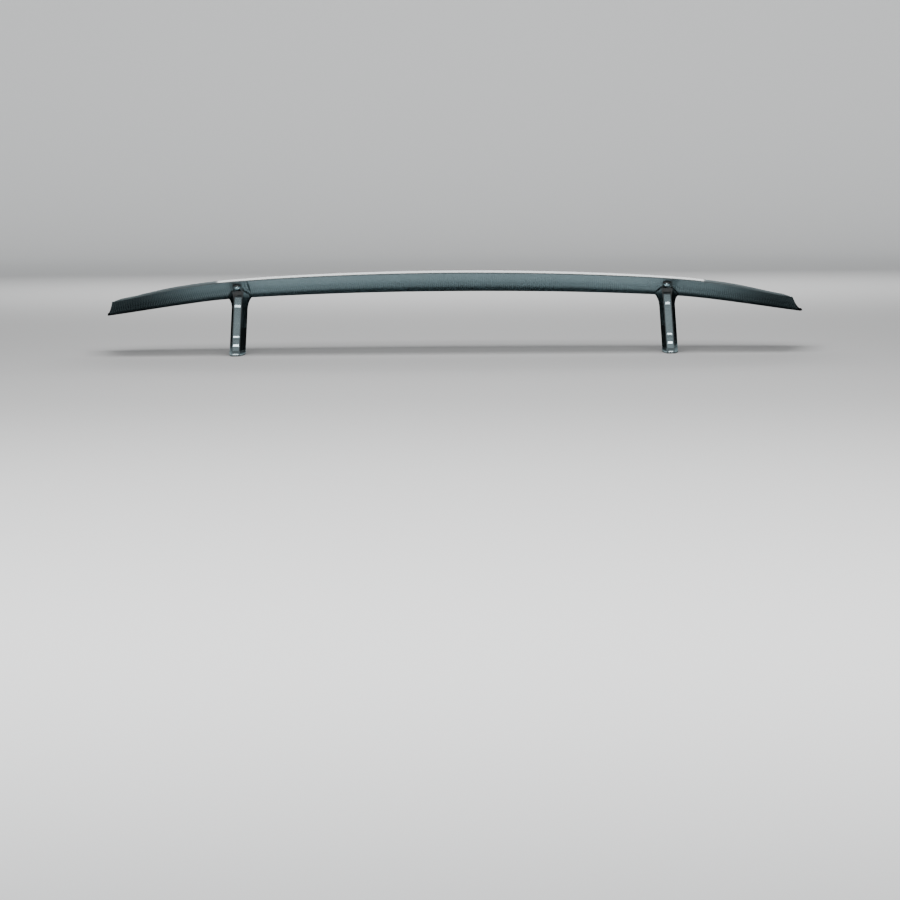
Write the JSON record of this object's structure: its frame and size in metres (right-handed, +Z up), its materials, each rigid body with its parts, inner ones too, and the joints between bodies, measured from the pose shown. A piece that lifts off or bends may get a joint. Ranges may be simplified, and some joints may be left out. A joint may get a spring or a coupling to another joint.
{
  "type": "rear wing",
  "caption": "Wide carbon rear wing: a gently bowed blade with drooping outer panels and a small trailing lip on two slim stanchions with flat feet.",
  "frame": {"origin": "on the feet's seating plane, midway between the wing's tips and midway between its front and rear edges", "axes": "+X to the right seen from behind the car, along the blade; +Y towards the front of the car; +Z up"},
  "size_m": [1.5798, 0.2585, 0.1944],
  "materials": {
    "blade_carbon": "2x2 twill carbon fibre under gloss clear coat",
    "stanchion_carbon": "2x2 twill carbon fibre under gloss clear coat",
    "anodised_aluminium": "dark grey anodised, satin",
    "bare_aluminium": "machined",
    "inner_laminate": "uncoated carbon laminate",
    "zinc_steel": "bright stainless steel",
    "rubber_seal": "matt black rubber"
  },
  "bodies": {
    "root": {"blade_lower_skin": "blade_carbon", "blade_upper_skin": "blade_carbon", "trailing_edge_lip": "blade_carbon", "front_spar": "inner_laminate", "rear_spar": "inner_laminate", "tip_cap_right": "blade_carbon", "tip_cap_left": "blade_carbon", "rib_1_right": "inner_laminate", "rib_1_left": "inner_laminate", "rib_2_right": "inner_laminate", "rib_2_left": "inner_laminate", "rib_3_right": "inner_laminate", "rib_3_left": "inner_laminate", "rib_4_right": "inner_laminate", "rib_4_left": "inner_laminate", "hardpoint_right": "bare_aluminium", "hardpoint_left": "bare_aluminium", "mast_right": "anodised_aluminium", "mast_left": "anodised_aluminium", "fairing_outer_right": "stanchion_carbon", "fairing_outer_left": "stanchion_carbon", "fairing_inner_right": "stanchion_carbon", "fairing_inner_left": "stanchion_carbon", "saddle_right": "stanchion_carbon", "saddle_left": "stanchion_carbon", "saddle_shim_right": "rubber_seal", "saddle_shim_left": "rubber_seal", "foot_shoe_right": "anodised_aluminium", "foot_shoe_left": "anodised_aluminium", "foot_gasket_right": "rubber_seal", "foot_gasket_left": "rubber_seal", "saddle_screw_rear_right": "zinc_steel", "saddle_screw_rear_left": "zinc_steel", "foot_screw_rear_right": "zinc_steel", "foot_screw_rear_left": "zinc_steel", "foot_insert_rear_right": "zinc_steel", "foot_insert_rear_left": "zinc_steel", "saddle_screw_front_right": "zinc_steel", "saddle_screw_front_left": "zinc_steel", "foot_screw_front_right": "zinc_steel", "foot_screw_front_left": "zinc_steel", "foot_insert_front_right": "zinc_steel", "foot_insert_front_left": "zinc_steel"}
  },
  "joints": []
}
